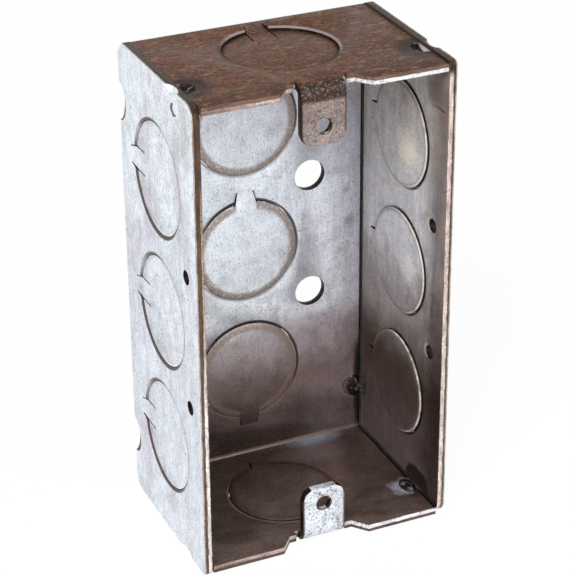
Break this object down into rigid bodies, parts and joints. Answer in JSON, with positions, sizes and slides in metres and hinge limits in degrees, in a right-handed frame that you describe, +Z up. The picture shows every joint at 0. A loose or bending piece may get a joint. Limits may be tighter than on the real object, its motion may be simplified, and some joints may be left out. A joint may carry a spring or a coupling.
{
  "type": "handy box",
  "caption": "Welded sheet-steel wiring box, open at the front, with round pry-out knockouts in its sides, back and ends, a tapped ear at each end and mounting holes in its back.",
  "frame": {"origin": "under the middle of the box, on the surface that it stands on", "axes": "+Z up along the box's length, -Y out of its open front, +Y out of its back, +X to the right seen from the front"},
  "size_m": [0.054, 0.0382, 0.1016],
  "materials": {
    "strip_steel": "galvanised sheet, dulled and stained brown-grey",
    "left_plate_steel": "galvanised sheet, bright and finely mottled",
    "right_plate_steel": "galvanised sheet, dulled"
  },
  "bodies": {
    "root": {"folded_strip": "strip_steel", "left_side_plate": "left_plate_steel", "right_side_plate": "right_plate_steel"}
  },
  "joints": []
}
